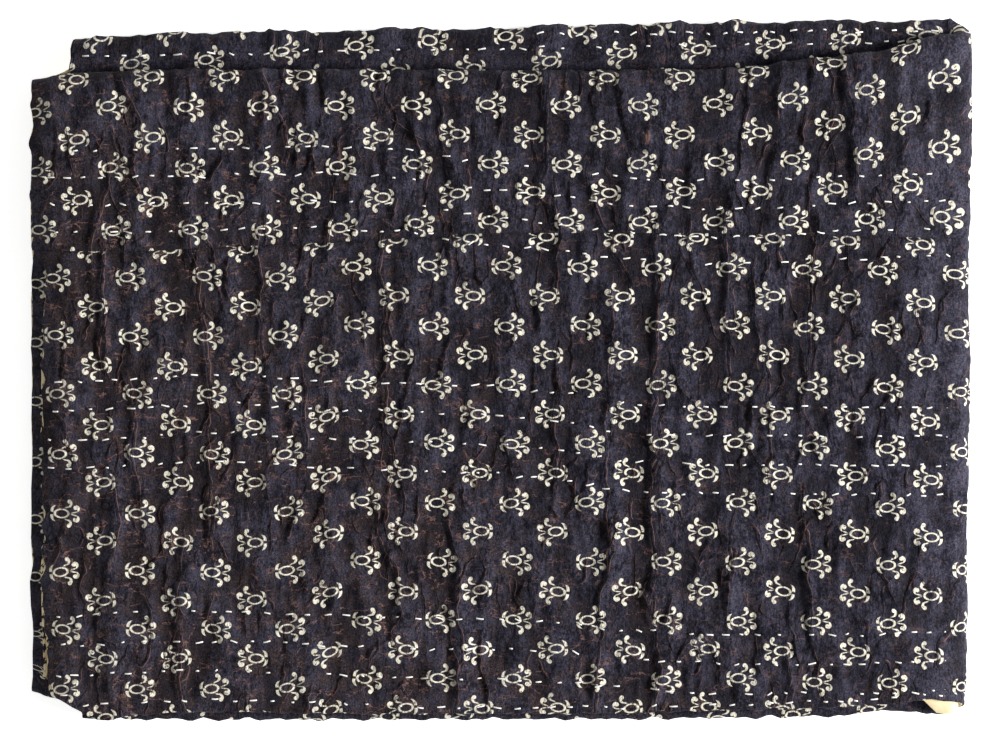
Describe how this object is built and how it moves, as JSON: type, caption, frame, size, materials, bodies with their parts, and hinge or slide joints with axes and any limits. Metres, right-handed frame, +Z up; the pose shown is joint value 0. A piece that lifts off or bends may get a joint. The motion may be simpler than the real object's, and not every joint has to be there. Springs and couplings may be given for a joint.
{
  "type": "quilted throw blanket",
  "caption": "Printed cotton throw, hand quilted to a cream backing, lying folded in a flat rectangle for a bed, sofa or shelf.",
  "frame": {"origin": "middle of the underside of the folded throw's bounding box, on the surface it lies on", "axes": "+X along the long side of the folded throw towards its main fold, +Y from the open hem edge towards the folded edge, +Z up"},
  "size_m": [0.6472, 0.4802, 0.0363],
  "materials": {
    "printed_cotton": "soft washed cotton, dark indigo with a small cream block print, worn brown along its creases",
    "cream_cotton": "plain cream cotton, matt",
    "quilting_thread": "white cotton thread"
  },
  "bodies": {
    "root": {"hem_panel": "printed_cotton", "main_panel": "printed_cotton", "backing_cloth": "cream_cotton"}
  },
  "joints": []
}
